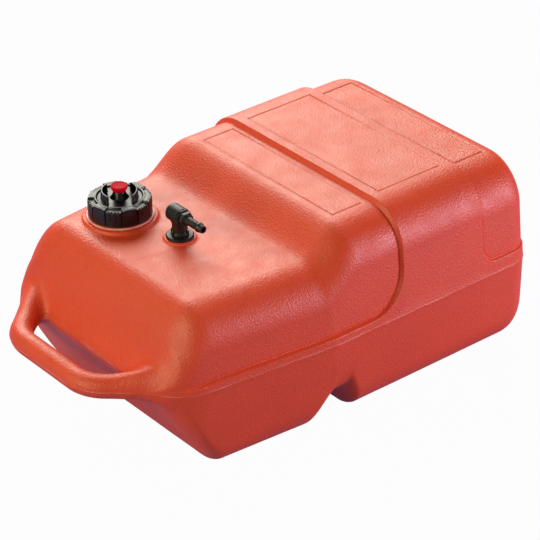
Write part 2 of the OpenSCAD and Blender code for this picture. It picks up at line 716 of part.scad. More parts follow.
module elbow_o_ring() {
    color([0.06, 0.06, 0.06]) translate(pickup) translate([0, 0, ring_z])
        rotate_extrude() translate([bush_bore - ring_section - 0.35, 0]) circle(r = ring_section);
}

module elbow_clip() {
    color([0.75, 0.76, 0.78]) translate(pickup) translate([0, 0, clip_z]) difference() {
        cylinder(r = bush_bore + 0.4, h = clip_height);
        translate([0, 0, -cut]) cylinder(r = bush_bore - running_gap - clip_bite + seat_gap, h = clip_height + 2 * cut);
        translate([0, -1.5, -cut]) cube([bush_bore + 2, 3, clip_height + 2 * cut]);
    }
}

module pickup_tube() {
    color([0.88, 0.88, 0.84]) translate(pickup) translate([0, 0, tube_base]) difference() {
        cylinder(r = tube_radius, h = socket_top - tube_base);
        translate([0, 0, -cut]) cylinder(r = tube_radius - tube_wall, h = socket_top - tube_base + 2 * cut);
    }
}

module strainer_cage() {
    color([0.16, 0.16, 0.17]) translate(pickup) translate([0, 0, cage_base]) difference() {
        union() {
            cylinder(r = cage_radius, h = cage_floor);
            translate([0, 0, cage_height - cage_collar]) cylinder(r = cage_radius, h = cage_collar);
            for (i = [0:cage_bars - 1])
                rotate(360 * (i + 0.5) / cage_bars) translate([cage_radius - bar_thickness - 0.2, -0.9, cage_floor / 2])
                    cube([bar_thickness, 1.8, cage_height - cage_floor]);
        }
        translate([0, 0, cage_height - cage_collar - cut]) cylinder(r = tube_radius + seat_gap, h = cage_collar + 3 * cut);
    }
}

module strainer_screen() {
    screen_radius = cage_radius - bar_thickness - 0.2 - seat_gap;
    color([0.80, 0.78, 0.66]) translate(pickup) translate([0, 0, cage_base + cage_floor]) difference() {
        cylinder(r = screen_radius, h = cage_height - cage_collar - cage_floor);
        translate([0, 0, -cut]) cylinder(r = screen_radius - screen_thickness, h = cage_height);
    }
}

module hose_tail() {
    color([0.10, 0.10, 0.10]) translate(pickup) translate([0, 0, outlet_height]) rotate([90, 0, 0]) difference() {
        union() {
            translate([0, 0, barrel_front - screw_depth]) cylinder(r = screw_radius, h = screw_depth + ring_gap + cut);
            translate([0, 0, hex_y]) cylinder(r = hex_flats / sqrt(3), h = hex_thickness, $fn = 6);
            translate([0, 0, tail_y]) rotate_extrude() polygon([
                [0, -cut], [tail_radius + 1.2, -cut], [tail_radius + 1.2, 0.8], [tail_radius, 2],
                [tail_radius, tail_length - barb_length], [barb_radius, tail_length - barb_length + 0.4],
                [barb_radius, tail_length - barb_length + 0.4 + barb_land], [tail_radius - 0.5, tail_length],
                [0, tail_length]
            ]);
        }
        translate([0, 0, barrel_front - screw_depth - cut]) cylinder(r = tail_bore, h = tail_y + tail_length);
    }
}

module tail_o_ring() {
    color([0.06, 0.06, 0.06]) translate(pickup) translate([0, 0, outlet_height]) rotate([90, 0, 0])
        translate([0, 0, barrel_front]) difference() {
            cylinder(r = screw_radius + 1, h = ring_gap);
            translate([0, 0, -cut]) cylinder(r = screw_radius + seat_gap, h = ring_gap + 2 * cut);
        }
}

tank_body();
cap_gasket();
cap_plate();
cap_shell();
vent_knob();
vent_stem();
vent_seal();
vent_clip();
pickup_bush();
bush_gasket();
pickup_elbow();
elbow_o_ring();
elbow_clip();
pickup_tube();
strainer_cage();
strainer_screen();
hose_tail();
tail_o_ring();
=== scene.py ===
"""Looks of the portable fuel tank. Shapes are worked out in millimetres and scaled to metres at the end."""

import json
import math

import bmesh
import bpy
from mathutils import Matrix, Vector, noise
from mathutils.bvhtree import BVHTree


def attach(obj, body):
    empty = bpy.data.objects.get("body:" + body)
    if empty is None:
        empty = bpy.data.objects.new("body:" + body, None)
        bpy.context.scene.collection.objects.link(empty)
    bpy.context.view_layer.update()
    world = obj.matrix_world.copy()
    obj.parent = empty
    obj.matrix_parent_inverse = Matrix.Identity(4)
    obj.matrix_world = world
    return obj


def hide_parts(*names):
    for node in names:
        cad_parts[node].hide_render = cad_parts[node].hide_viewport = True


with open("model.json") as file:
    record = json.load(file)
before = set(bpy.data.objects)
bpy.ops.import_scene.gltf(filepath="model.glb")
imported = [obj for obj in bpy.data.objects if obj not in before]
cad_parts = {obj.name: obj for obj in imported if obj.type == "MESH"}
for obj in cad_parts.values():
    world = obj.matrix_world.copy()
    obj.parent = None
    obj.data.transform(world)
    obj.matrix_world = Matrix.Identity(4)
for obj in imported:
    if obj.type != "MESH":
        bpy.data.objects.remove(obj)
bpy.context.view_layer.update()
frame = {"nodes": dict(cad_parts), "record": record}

MM = 0.001

# The tank's sizes. They are the CAD source's, apart from FRONT_RISE, the slope of the front face, which is
# steeper here because the edge above it is rounded more widely.
X_REAR, X_FRONT = 258.3, -204.0
X_BAND_FRONT, X_BAND_REAR = 78.8, 186.5
X_FOOT, X_CREST, X_ROOF = -25.0, 25.0, -6.0
Z_PARTING, Z_DECK, Z_BAND, Z_FRONT_TOP, Z_REAR_TOP = 97.5, 176.5, 211.5, 206.5, 206.0
WALL = 4.0
FRONT_RISE, UNDERCUT, EDGE_ROUND = 2.18, 53.0, 3.5
FILLER = (-103.0, 73.5)
PICKUP = (-83.0, 0.0)

# The filler, the pickup and the elbow's outlet in space. What stands on the deck is measured from it.
FILLER_DECK, PICKUP_DECK = (*FILLER, Z_DECK), (*PICKUP, Z_DECK)
OUTLET_HEIGHT = 26.5
OUTLET = (*PICKUP, Z_DECK + OUTLET_HEIGHT)

# What pieces share: the radii of bores, and the thread of neck and cap
FILLER_BORE = 22.0
PICKUP_BORE = 10.65
PASSAGE = 2.6
THREAD_PITCH, THREAD_PHASE = 5.0, 0.4


# ---------------------------------------------------------------- small helpers
def clamp(v, low=0.0, high=1.0):
    return max(low, min(high, v))


def ease(t):
    """0 before 0 and 1 after 1, with a smooth step between."""
    t = clamp(t)
    return t * t * (3 - 2 * t)


def mix(a, b, t):
    return a + (b - a) * t


def round_in(d, r):
    """How far a rounded edge of radius r stands back at distance d from its end."""
    return 0.0 if d >= r else r - math.sqrt(max(0.0, r * r - (r - d) ** 2))


def soft_min(a, b, k):
    """The smaller value, with the corner between the two rounded over k."""
    h = clamp(0.5 + 0.5 * (b - a) / k)
    return b * (1 - h) + a * h - k * h * (1 - h)


def soft_max(a, b, k):
    return -soft_min(-a, -b, k)


def steps(low, high, count, last=True):
    """Evenly spaced values from low to high."""
    return [mix(low, high, i / count) for i in range(count + (1 if last else 0))]


# ---------------------------------------------------------------- mesh helpers
def new_mesh(name, points, faces):
    mesh = bpy.data.meshes.new(name)
    mesh.from_pydata([tuple(p) for p in points], [], faces)
    mesh.validate()
    obj = bpy.data.objects.new(name, mesh)
    bpy.context.scene.collection.objects.link(obj)
    return obj


def combine(obj, other, operation="UNION"):
    """Joins a closed mesh to another or cuts it; the other is used up."""
    mod = obj.modifiers.new("combine", "BOOLEAN")
    mod.operation, mod.object, mod.solver = operation, other, "MANIFOLD"
    bpy.context.view_layer.update()
    graph = bpy.context.evaluated_depsgraph_get()
    mesh = bpy.data.meshes.new_from_object(obj.evaluated_get(graph))
    obj.modifiers.clear()
    obj.data = mesh
    bpy.data.objects.remove(other)


def facing_out(obj):
    """Turns a closed mesh's faces outwards."""
    bm = bmesh.new()
    bm.from_mesh(obj.data)
    bmesh.ops.recalc_face_normals(bm, faces=bm.faces)
    if bm.calc_volume(signed=True) < 0:
        bmesh.ops.reverse_faces(bm, faces=bm.faces)
    bm.to_mesh(obj.data)
    bm.free()
    return obj


def lofted(name, rings, closed=False):
    """Joins rings of equal length; the ends are closed by smaller rings and a middle point, or joined to each other."""
    count, around = len(rings), len(rings[0])
    points = [p for ring in rings for p in ring]
    faces = []
    for i in range(count if closed else count - 1):
        a0, b0 = i * around, ((i + 1) % count) * around
        for j in range(around):
            k = (j + 1) % around
            faces.append((a0 + j, a0 + k, b0 + k, b0 + j))
    if not closed:
        for end, base in ((0, 0), (1, (count - 1) * around)):
            ring = [Vector(p) for p in rings[-end]]
            middle = Vector([(min(p[i] for p in ring) + max(p[i] for p in ring)) / 2 for i in range(3)])
            start = base
            for share in (0.06, 0.2, 0.45, 0.75):
                nxt = len(points)
                points += [tuple(p.lerp(middle, share)) for p in ring]
                for j in range(around):
                    k = (j + 1) % around
                    quad = (start + j, start + k, nxt + k, nxt + j)
                    faces.append(quad if end else quad[::-1])
                start = nxt
            points.append(tuple(middle))
            for j in range(around):
                k = (j + 1) % around
                tri = (start + j, start + k, len(points) - 1)
                faces.append(tri if end else tri[::-1])
    return facing_out(new_mesh(name, points, faces))


def rounded(corners, radius=0.5, step=18.0, closed=True):
    """A profile with its corners rounded. A corner is (u, v) or (u, v, radius)."""
    n, out = len(corners), []
    for i, c in enumerate(corners):
        p = Vector(c[:2])
        r = c[2] if len(c) > 2 else radius
        if r <= 0 or (not closed and i in (0, n - 1)):
            out.append(tuple(p))
            continue
        a, b = Vector(corners[i - 1][:2]) - p, Vector(corners[(i + 1) % n][:2]) - p
        la, lb = a.length, b.length
        a, b = a / la, b / lb
        half = math.acos(clamp(a.dot(b), -1, 1)) / 2
        if half > math.radians(87):
            out.append(tuple(p))
            continue
        reach = min(r / math.tan(half), 0.45 * la, 0.45 * lb)
        r = reach * math.tan(half)
        centre = p + (a + b).normalized() * (r / math.sin(half))
        start, end = p + a * reach - centre, p + b * reach - centre
        turn = start.angle_signed(end)
        parts = max(2, int(math.ceil(abs(math.degrees(turn)) / step)))
        for k in range(parts + 1):
            t = -turn * k / parts
            out.append((
                centre.x + start.x * math.cos(t) - start.y * math.sin(t),
                centre.y + start.x * math.sin(t) + start.y * math.cos(t),
            ))
    return out


def turned_rings(profile, at, axis, count, shape=None):
    """A profile of (radius, height) turned round an axis. shape(angle, r, h) may move a point's radius and height."""
    rings = []
    for j in range(count):
        angle = 2 * math.pi * j / count
        ring = []
        for r, h in profile:
            if shape:
                r, h = shape(angle, r, h)
            x, y = r * math.cos(angle), r * math.sin(angle)
            if axis == "z":
                ring.append((at[0] + x, at[1] + y, at[2] + h))
            else:
                ring.append((at[0] + x, at[1] - h, at[2] + y))
        rings.append(ring)
    return rings


def turned(name, profile, at, axis="z", count=96, shape=None):
    """A turned piece whose profile is closed and stays off the axis."""
    return lofted(name, turned_rings(profile, at, axis, count, shape), closed=True)


def solid_turned(name, profile, at, axis="z", count=96):
    """A turned piece whose profile starts and ends on the axis."""
    rings = turned_rings(profile[1:-1], at, axis, count)
    inner = len(profile) - 2
    points = [p for r in rings for p in r]
    faces = []
    for j in range(count):
        k = (j + 1) % count
        for i in range(inner - 1):
            faces.append((j * inner + i, k * inner + i, k * inner + i + 1, j * inner + i + 1))
    for end, row in ((0, 0), (1, inner - 1)):
        h = profile[0][1] if end == 0 else profile[-1][1]
        points.append((at[0], at[1], at[2] + h) if axis == "z" else (at[0], at[1] - h, at[2]))
        for j in range(count):
            k = (j + 1) % count
            tri = (j * inner + row, k * inner + row, len(points) - 1)
            faces.append(tri if end else tri[::-1])
    return facing_out(new_mesh(name, points, faces))


def rod(radius, low, high, at, axis="z", count=48):
    """A plain cylinder, mostly used up as a drill."""
    return solid_turned("rod", [(0, low), (radius, low), (radius, high), (0, high)], at, axis, count)


def prism(name, outline, low, high, bevel, at):
    """An outline raised along the outlet's axis, with its edges bevelled by moving the end rings in."""
    rings = []
    for h, inset in ((low, bevel), (low + bevel, 0), (high - bevel, 0), (high, bevel)):
        ring = []
        for u, v in outline:
            p = Vector((u, v))
            p = p * (1 - inset / p.length)
            ring.append((at[0] + p.x, at[1] - h, at[2] + p.y))
        rings.append(ring)
    return lofted(name, rings)


def helix(name, at, root, crest, low, high, phase):
    """A screw thread's ridge between two radii, tapered at both ends."""
    base, tip = 1.2, 0.5  # half the ridge's width at its root and at its crest
    turns = (high - low) / THREAD_PITCH
    least = math.copysign(0.08, crest - root)  # height left at the tapered ends
    count = int(turns * 90)
    rings = []
    for i in range(count + 1):
        t = i / count
        angle = 2 * math.pi * (turns * t) + phase
        z = mix(low, high, t)
        top = mix(root, crest, ease(min(t, 1 - t) * turns * 6))
        top = top if abs(top - root) > abs(least) else root + least
        ring = []
        for r, h in ((root, -base), (top, -tip), (top, tip), (root, base)):
            ring.append((at[0] + r * math.cos(angle), at[1] + r * math.sin(angle), at[2] + z + h))
        rings.append(ring)
    return lofted(name, rings)


# ---------------------------------------------------------------- smooth joins
class Form:
    """A closed mesh seen as a signed distance."""

    def __init__(self, obj):
        self.tree = BVHTree.FromPolygons(
            [v.co.copy() for v in obj.data.vertices], [tuple(p.vertices) for p in obj.data.polygons]
        )

    def __call__(self, p):
        near, normal, _, dist = self.tree.find_nearest(p)
        to = p - near
        side = 1.0 if to.dot(normal) >= 0 else -1.0
        if dist < 1e-3:
            return side * dist, normal
        return side * dist, to * (side / dist)


def blended(first, second, k, p):
    """Distance to the smooth union of two forms, and its slope."""
    fa, ga = first(p)
    fb, gb = second(p)
    h = clamp(0.5 + 0.5 * (fa - fb) / k)
    return fa * (1 - h) + fb * h - k * h * (1 - h), ga * (1 - h) + gb * h


def melt(obj, part, fillet, relax):
    """Joins a part to a piece and moves the points near the join onto their smooth union, a moulded fillet."""
    first, second = Form(obj), Form(part)
    combine(obj, part)
    bm = bmesh.new()
    bm.from_mesh(obj.data)
    near = [v for v in bm.verts if abs(second(v.co)[0]) < fillet and abs(first(v.co)[0]) < fillet]

    def settle(v, rounds):
        p = v.co.copy()
        for _ in range(rounds):
            f, g = blended(first, second, fillet, p)
            if abs(f) < 2e-3 or g.length < 0.15:
                break
            p -= g.normalized() * clamp(f / g.length, -fillet / 10, fillet / 10)
        v.co = p

    for v in near:
        settle(v, 12)
    for _ in range(relax):
        even = {v: sum((e.other_vert(v).co for e in v.link_edges), Vector()) / len(v.link_edges) for v in near}
        for v, p in even.items():
            v.co = v.co.lerp(p, 0.5)
        for v in near:
            settle(v, 4)
    bm.to_mesh(obj.data)
    bm.free()


def refine(obj, length):
    """Splits long edges, so that a join has points to move."""
    bm = bmesh.new()
    bm.from_mesh(obj.data)
    bmesh.ops.triangulate(bm, faces=[f for f in bm.faces if len(f.verts) > 4])
    for _ in range(4):
        long_edges = [e for e in bm.edges if e.calc_length() > length * 1.5]
        if not long_edges:
            break
        bmesh.ops.subdivide_edges(bm, edges=long_edges, cuts=1, use_grid_fill=True)
        bmesh.ops.triangulate(bm, faces=[f for f in bm.faces if len(f.verts) > 4])
    bm.to_mesh(obj.data)
    bm.free()
    return obj


# ---------------------------------------------------------------- the moulded skin
WIDTH_FRONT, WIDTH_REAR = 288, 323
TAPER_START, TAPER_LENGTH = 34, 156  # where the width grows, from the front end
FRONT_CORNER, REAR_CORNER = 42, 29  # radii of the corners seen from above
DECK_BLEND, TOE_BLEND = 38, 18  # how widely the front face rounds over into the deck and into the base
REAR_TOP_ROUND, REAR_LOW_ROUND = 23, 36  # radii of the rear end's upper and lower edges
SHOULDER_FRONT, SHOULDER_REAR = 43, 47  # radii of the long edges at the top
BASE_FRONT, BASE_REAR = 26, 36  # radii of the long edges at the base
CHANNEL_HEIGHT, CHANNEL_RISE, CHANNEL_FALL, CHANNEL_END = 28, 36, 15, 27  # the strap channel, from X_ROOF
LOW_DRAFT, HIGH_DRAFT = 0.035, 0.09  # slopes of the side walls under and over the parting line

BAND_EDGE = 3.4  # length of the band's front and rear steps
LEDGE_EDGE = 2.2  # width of the ledge's step on the sides
GROOVE = 0.55  # depth of the groove at the foot of a step
FRONT_STEP, REAR_STEP = 4.0, 2.4  # how far the upper sides are set in before and behind the band
FRONT_TURN, REAR_TURN = 45, 19  # radii where the ledges turn up into the band's steps
FRONT_LEDGE, REAR_LEDGE = 7.5, 13.5  # heights of the ledges over the parting line
LEDGE_DROP = 4  # how much lower the front ledge is by the handle
STEP_ROWS = (-0.5, 0.1, 0.6, 1.1, 1.6, 2.0, 2.5, 3.1, 4.0)  # rows of points across a ledge's step
STEP_STATIONS = (-1.0, -0.3, 0.3, 0.8, 1.4, 2.0, 2.6, 3.1, 3.6, 4.1, 4.6, 5.2)  # stations across a band's step


def foot(d, edge):
    """1 just past the foot of a step, 0 elsewhere."""
    return ease(1 - abs(d - edge * 1.05) / 1.1)


def in_front(x):
    return ease((X_BAND_FRONT - x) / BAND_EDGE)


def behind(x):
    return ease((x - X_BAND_REAR) / BAND_EDGE)


def half_width(x):
    w = mix(WIDTH_FRONT, WIDTH_REAR, clamp((x - X_FRONT - TAPER_START) / TAPER_LENGTH, -0.2, 1)) / 2
    return w - round_in(x - X_FRONT, FRONT_CORNER) - round_in(X_REAR - x, REAR_CORNER)


def nose(d):
    """Half the height of the rounded front edge at distance d from its end."""
    return math.sqrt(max(0.0, EDGE_ROUND**2 - (EDGE_ROUND - min(d, EDGE_ROUND)) ** 2))


def front_face(x):
    d = x - X_FRONT
    return Z_PARTING + 0.4 + max(0.0, d - 2.3) * FRONT_RISE + nose(d) * max(0.0, 1 - d / 12)


def top_height(x):
    slope = mix(Z_DECK, Z_FRONT_TOP, ease((x - X_FOOT) / (X_CREST - X_FOOT)))
    front = soft_min(slope, front_face(x), DECK_BLEND)
    rear = Z_REAR_TOP - round_in(X_REAR - x, REAR_TOP_ROUND)
    line = foot(X_BAND_FRONT - x, BAND_EDGE) + foot(x - X_BAND_REAR, BAND_EDGE)
    return Z_BAND + in_front(x) * (front - Z_BAND) + behind(x) * (rear - Z_BAND) - GROOVE * line


def bottom_height(x):
    rise = ease((x - X_ROOF + CHANNEL_RISE) / CHANNEL_RISE)
    channel = CHANNEL_HEIGHT * rise * ease((X_ROOF + CHANNEL_END - x) / CHANNEL_FALL)
    fall = (Z_PARTING - EDGE_ROUND) / UNDERCUT
    d = x - X_FRONT
    face = Z_PARTING - 0.4 - nose(d) - d * fall
    return max(channel, soft_max(round_in(X_REAR - x, REAR_LOW_ROUND), face, TOE_BLEND))


def front_ledge(x):
    return FRONT_LEDGE - LEDGE_DROP * (1 - ease((x - X_FRONT - 8) / 50))


def corner_distance(u, v, r):
    """Distance inside a quarter plane whose corner is rounded."""
    if u < r and v < r:
        return r - math.hypot(r - u, r - v)
    return min(u, v)


def corner_height(u, d, r):
    """Height at which that distance is d."""
    if u >= r:
        return d
    s = (r - d) ** 2 - (r - u) ** 2
    return r if s <= 0 else r - math.sqrt(s)


def side_step(x, z):
    """How far the upper side is set in from the tray."""
    d = corner_distance(X_BAND_FRONT - x, z - Z_PARTING - front_ledge(x), FRONT_TURN)
    front = (FRONT_STEP * ease(d / LEDGE_EDGE) + GROOVE * foot(d, LEDGE_EDGE)) * ease((x - X_FRONT - 6) / 36)
    d = corner_distance(x - X_BAND_REAR, z - Z_PARTING - REAR_LEDGE, REAR_TURN)
    return front + REAR_STEP * ease(d / LEDGE_EDGE) + GROOVE * foot(d, LEDGE_EDGE)


def step_rows(x):
    """Heights over the parting line where a section's rows follow the ledge's step."""
    front = [front_ledge(x) + corner_height(X_BAND_FRONT - x, d, FRONT_TURN) for d in STEP_ROWS]
    rear = [REAR_LEDGE + corner_height(x - X_BAND_REAR, d, REAR_TURN) for d in STEP_ROWS]
    if x <= X_BAND_FRONT:
        rows = front
    elif x >= X_BAND_REAR:
        rows = rear
    else:
        t = (x - X_BAND_FRONT) / (X_BAND_REAR - X_BAND_FRONT)
        rows = [mix(a, b, t) for a, b in zip(front, rear)]
    for i in range(1, len(rows)):
        rows[i] = max(rows[i], rows[i - 1] + 0.45)
    return rows


def half_section(x):
    """Half of a cross-section as (y, z), from the middle of the floor round to the middle of the top."""
    w, zt, zb, zp = half_width(x), top_height(x), bottom_height(x), Z_PARTING
    # Height and width of the rounding at the floor
    rl = min(mix(BASE_FRONT, BASE_REAR, clamp((x - X_FRONT - 54) / 150)), (zp - zb) * 0.85)
    rlw = max(rl, 12)
    y_low = w - LOW_DRAFT * (zp - zb - rl) - rlw
    room = zt - zp
    rows = step_rows(x)
    squeeze = min(1.0, room * 0.55 / rows[-1])
    rows = [r * squeeze for r in rows]
    high = rows[-1]
    # Height and width of the rounding at the top
    rs = min(mix(SHOULDER_FRONT, SHOULDER_REAR, 1 - in_front(x)), (room - high) * 0.97)
    rsw = min(max(rs, 30), w * 0.5)
    zs = zt - rs

    out = [(y, zb) for y in steps(0, y_low, 24, False)]
    for a in steps(0, math.pi / 2, 16, False):
        out.append((y_low + rlw * math.sin(a), zb + rl * (1 - math.cos(a))))
    low = min(1.3, (zp - zb - rl) * 0.5)
    for z in steps(zb + rl, zp - low, 12, False) + [zp - low, zp - low * 0.45, zp]:
        out.append((w - LOW_DRAFT * (zp - z), z))
    up = min(1.3, rows[0] * 0.5)
    for h in [up * 0.45, up] + steps(up, rows[0], 3)[1:-1] + rows + steps(high, zs - zp, 16)[1:-1]:
        out.append((w - HIGH_DRAFT * h - side_step(x, zp + h), zp + h))
    y_wall = w - HIGH_DRAFT * (zs - zp) - side_step(x, zs)
    for a in steps(0, math.pi / 2, 22):
        out.append((y_wall - rsw + rsw * math.cos(a), zs + rs * math.sin(a)))
    out += [(y, zt) for y in steps(y_wall - rsw, 0, 36)[1:]]
    return out


def skin_stations():
    """The places along the tank where its sections stand, closer at its ends and at the band's steps."""
    xs = [X_FRONT + FRONT_CORNER * (1 - math.cos(math.radians(a))) for a in range(0, 90, 4)]
    xs += [X_FRONT + d for d in (0.25, 0.6, 1.1, 1.8, 2.6, 3.4)]
    xs += steps(X_FRONT + FRONT_CORNER, X_BAND_FRONT - 6, 110)
    xs += [X_BAND_FRONT - d for d in STEP_STATIONS]
    xs += steps(X_BAND_FRONT + 2.5, X_BAND_REAR - 2.5, 44)
    xs += [X_BAND_REAR + d for d in STEP_STATIONS]
    xs += steps(X_BAND_REAR + 7, X_REAR - REAR_LOW_ROUND, 12)
    xs += [X_REAR - REAR_LOW_ROUND * (1 - math.sin(math.radians(a))) for a in range(4, 91, 4)] + [X_REAR]
    xs = sorted(xs)
    return [x for i, x in enumerate(xs) if i == 0 or x - xs[i - 1] > 0.2]


def full_ring(x, half):
    return [(x, -y, z) for y, z in half] + [(x, y, z) for y, z in half[-2:0:-1]]


def outer_skin():
    return lofted("skin", [full_ring(x, half_section(x)) for x in skin_stations()])


def inner_skin():
    """The hollow, a wall's thickness inside the skin and a little simpler."""
    rings = []
    for x in steps(X_FRONT + 12, X_REAR - WALL - 0.5, 90):
        half = half_section(x)[::3]
        zt, zb = top_height(x) - WALL - 0.8, bottom_height(x) + WALL + 0.6
        ahead, back = half_width(min(x + 6, X_REAR)), half_width(max(x - 6, X_FRONT))
        w = min(half_width(x), ahead, back) - WALL - 0.6
        scale = w / half_width(x)
        mid = (half[0][1] + half[-1][1]) / 2
        rise = (zt - zb) / (half[-1][1] - half[0][1])
        shift = (zt + zb) / 2
        out = [(max(0.0, y - 3.2) * scale, shift + (z - mid) * rise) for y, z in half]
        first, last = (0.0, out[0][1]), (0.0, out[-1][1])
        rings.append(full_ring(x, [first] + [p for p in out[1:-1] if p[0] > 0.01] + [last]))
    shortest = min(len(r) for r in rings)
    return lofted("hollow", [r for r in rings if len(r) == shortest])


# ---------------------------------------------------------------- the handle and what is moulded on the skin
HANDLE_ANGLES = [0, 2.3, 4.8, *range(9, 172, 6), 175.2, 177.7, 180]  # round the bar, closer at the parting line
HANDLE_ANGLES += [-a for a in HANDLE_ANGLES[-2:0:-1]]


def handle_path():
    """The handle's middle line, from the grip to one root: x, y, direction, radius and flare of its crest."""
    x_grip, grip, swell, flare = -245.6, 12.2, 1.8, 0.35
    straight, bend, turn, arm, root_bend, root_turn = 40, 40.0, 50.0, 60, 25, 85
    path = [(x_grip, y, 0.0, grip, 0.0) for y in steps(0, straight, 20, False)]
    for a in steps(0, turn, 18):
        t = math.radians(a)
        path.append((x_grip + bend * (1 - math.cos(t)), straight + bend * math.sin(t), a, grip, 0.0))
    t = math.radians(turn)
    x0, y0 = path[-1][:2]
    for s in steps(0, arm, 30)[1:]:
        place = (x0 + s * math.sin(t), y0 + s * math.cos(t))
        path.append((*place, turn, grip + swell * ease(s / 50), flare * ease(s / 45)))
    x0, y0 = path[-1][:2]
    for a in steps(turn, root_turn, 12)[1:]:
        u = math.radians(a)
        place = (x0 + root_bend * (math.cos(t) - math.cos(u)), y0 + root_bend * (math.sin(u) - math.sin(t)))
        path.append((*place, a, grip + swell, flare))
    return path


def handle_bar():
    path = handle_path()
    line = [(x, -y, -a, r, flare) for x, y, a, r, flare in path[:0:-1]] + path
    rings = []
    for x, y, a, r, flare in line:
        t = math.radians(a)
        ring = []
        for phi in HANDLE_ANGLES:
            u, h = r * math.cos(math.radians(phi)), r * math.sin(math.radians(phi))
            h += flare * max(0.0, h) ** 2 / r
            ring.append((x - u * math.cos(t), y + u * math.sin(t), Z_PARTING + h))
        rings.append(ring)
    return lofted("handle", rings)


def panel_frame(x0, x1, z):
    """A thin outline with sloping walls, pressed into the skin."""
    half = 105.0
    rings = []
    for inset, h in ((-1.1, 0.9), (0.6, -0.8), (1.3, -0.8), (3.0, 0.9)):
        u0, u1, v = x0 + inset, x1 - inset, half - inset
        rings.append([(u0, -v, z + h), (u1, -v, z + h), (u1, v, z + h), (u0, v, z + h)])
    return lofted("frame", [list(r) for r in zip(*rings)], closed=True)


def weather(body):
    """Gives the outer surface its slight waves and the parting line its flash."""
    flash = 0.35
    normals = [n.vector.copy() for n in body.data.vertex_normals]
    for v, normal in zip(body.data.vertices, normals):
        # A blow-moulding is never quite flat, but its seats are
        if v.co.z > 2 and math.dist(v.co[:2], FILLER) > 40 and math.dist(v.co[:2], PICKUP) > 18:
            wave = noise.noise(v.co / 70.0) * 0.2 + noise.noise(v.co / 22.0) * 0.05
            v.co += normal * min(0.0, wave - 0.07)
        dz = abs(v.co.z - Z_PARTING)
        flat = Vector((normal.x, normal.y, 0))
        if dz < 1.0 and flat.length > 0.3:
            v.co += flat.normalized() * flash * (1 - dz)


def tank():
    body = outer_skin()
    melt(body, handle_bar(), fillet=12, relax=5)
    collar = rounded([
        (0, -7), (38.5, -7, 0), (38.5, 3.5, 1.2), (36.2, 3.5, 0.3), (35.8, 3.1, 0.3), (0, 3.1)
    ], 0.4, closed=False)
    melt(body, solid_turned("collar", collar, FILLER_DECK, count=128), fillet=2.6, relax=1)
    pad = rounded([
        (0, -7), (16, -7, 0), (16, 1.9, 0.8), (14.8, 1.9, 0.3), (14.6, 2.2, 0.2), (0, 2.2)
    ], 0.3, closed=False)
    melt(body, solid_turned("pad", pad, PICKUP_DECK), fillet=3.0, relax=1)
    weather(body)

    neck = turned("neck", rounded([
        (FILLER_BORE, -7.5, 0), (27, -7.5, 0), (27, 3.0, 0), (34.8, 3.0, 0), (34.8, 5.3, 0.5), (27, 5.3, 0.6),
        (27, 15.5, 0.9), (22.8, 15.5, 0.5), (22.8, 8.5, 0.2), (FILLER_BORE, 7.5, 0.2)
    ], 0.4), FILLER_DECK, count=128)
    combine(neck, helix("thread", FILLER_DECK, root=26.8, crest=28.6, low=7.1, high=13.5, phase=THREAD_PHASE))
    combine(body, neck)
    combine(body, turned("boss", rounded([
        (PICKUP_BORE, -12, 0.3), (13.5, -12, 0.3), (13.5, 2.2, 0), (PICKUP_BORE, 2.2, 0.3)
    ]), PICKUP_DECK))

    # The hollow reaches up under the neck and the boss, which are then bored through
    hollow = inner_skin()
    combine(hollow, rod(24.0, -16, -6.5, FILLER_DECK, count=64))
    combine(hollow, rod(12.0, -11, -6.5, PICKUP_DECK, count=64))
    combine(body, hollow, "DIFFERENCE")
    combine(body, rod(FILLER_BORE, -20, 8, FILLER_DECK, count=128), "DIFFERENCE")
    combine(body, rod(PICKUP_BORE, -20, 6, PICKUP_DECK, count=128), "DIFFERENCE")
    for x0, x1, z in (
        (X_BAND_FRONT - 50.4, X_BAND_FRONT - 9.5, Z_FRONT_TOP),
        (X_BAND_FRONT + 10, X_BAND_REAR - 11.6, Z_BAND),
        (X_BAND_REAR + 7, X_REAR - REAR_TOP_ROUND, Z_REAR_TOP),
    ):
        combine(body, panel_frame(x0, x1, z), "DIFFERENCE")
    return body


# ---------------------------------------------------------------- the cap
CAP_RADIUS = 33
CAP_TOP = 23.5  # height of the flat ring that the lugs stand on
SEGMENT = 2 * math.pi / 12  # angle of a segment of the crown; every other one is toothed
LUG_TURN = -33.0  # direction of the line through the two lugs
CROWN_TURN = -33.0  # direction where the crown's first toothed segment starts


def cap_profile():
    """The cap's section as (radius, height), with more rows where notched() shapes it."""
    corners = rounded([
        (29.4, 6.1, 0.3), (32.6, 6.1, 0.3), (CAP_RADIUS, 6.7, 0.3), (CAP_RADIUS, 21.5, 0.9), (31.6, 22.4, 0.3),
        (25.6, 25.1, 0.8), (24.2, 25.1, 0.6), (22.6, CAP_TOP, 0.7), (9.6, CAP_TOP, 0.9), (8.3, 24.9, 0.6),
        (5.2, 32.1, 0.5), (2.68, 32.1, 0.2), (2.68, 14.5, 0.2), (9.2, 14.5, 0.3), (9.2, 15.85, 0.2),
        (8, 15.85, 0.2), (8, 20, 0.3), (29.4, 20, 0.5),
    ])
    fine = []
    for p, q in zip(corners, corners[1:] + corners[:1]):
        fine.append(p)
        low_r, low_h, high_h = min(p[0], q[0]), min(p[1], q[1]), max(p[1], q[1])
        shares = []
        if low_r > 32.5 and high_h - low_h > 4:
            shares = [0.03, 0.08, 0.5, 0.92, 0.97]
        elif low_r > 25 and low_h > 6.5 and high_h > 21.1 and math.dist(p, q) > 2:
            shares = steps(0, 1, 8)[1:-1]
        fine += [(mix(p[0], q[0], t), mix(p[1], q[1], t)) for t in shares]
    return fine


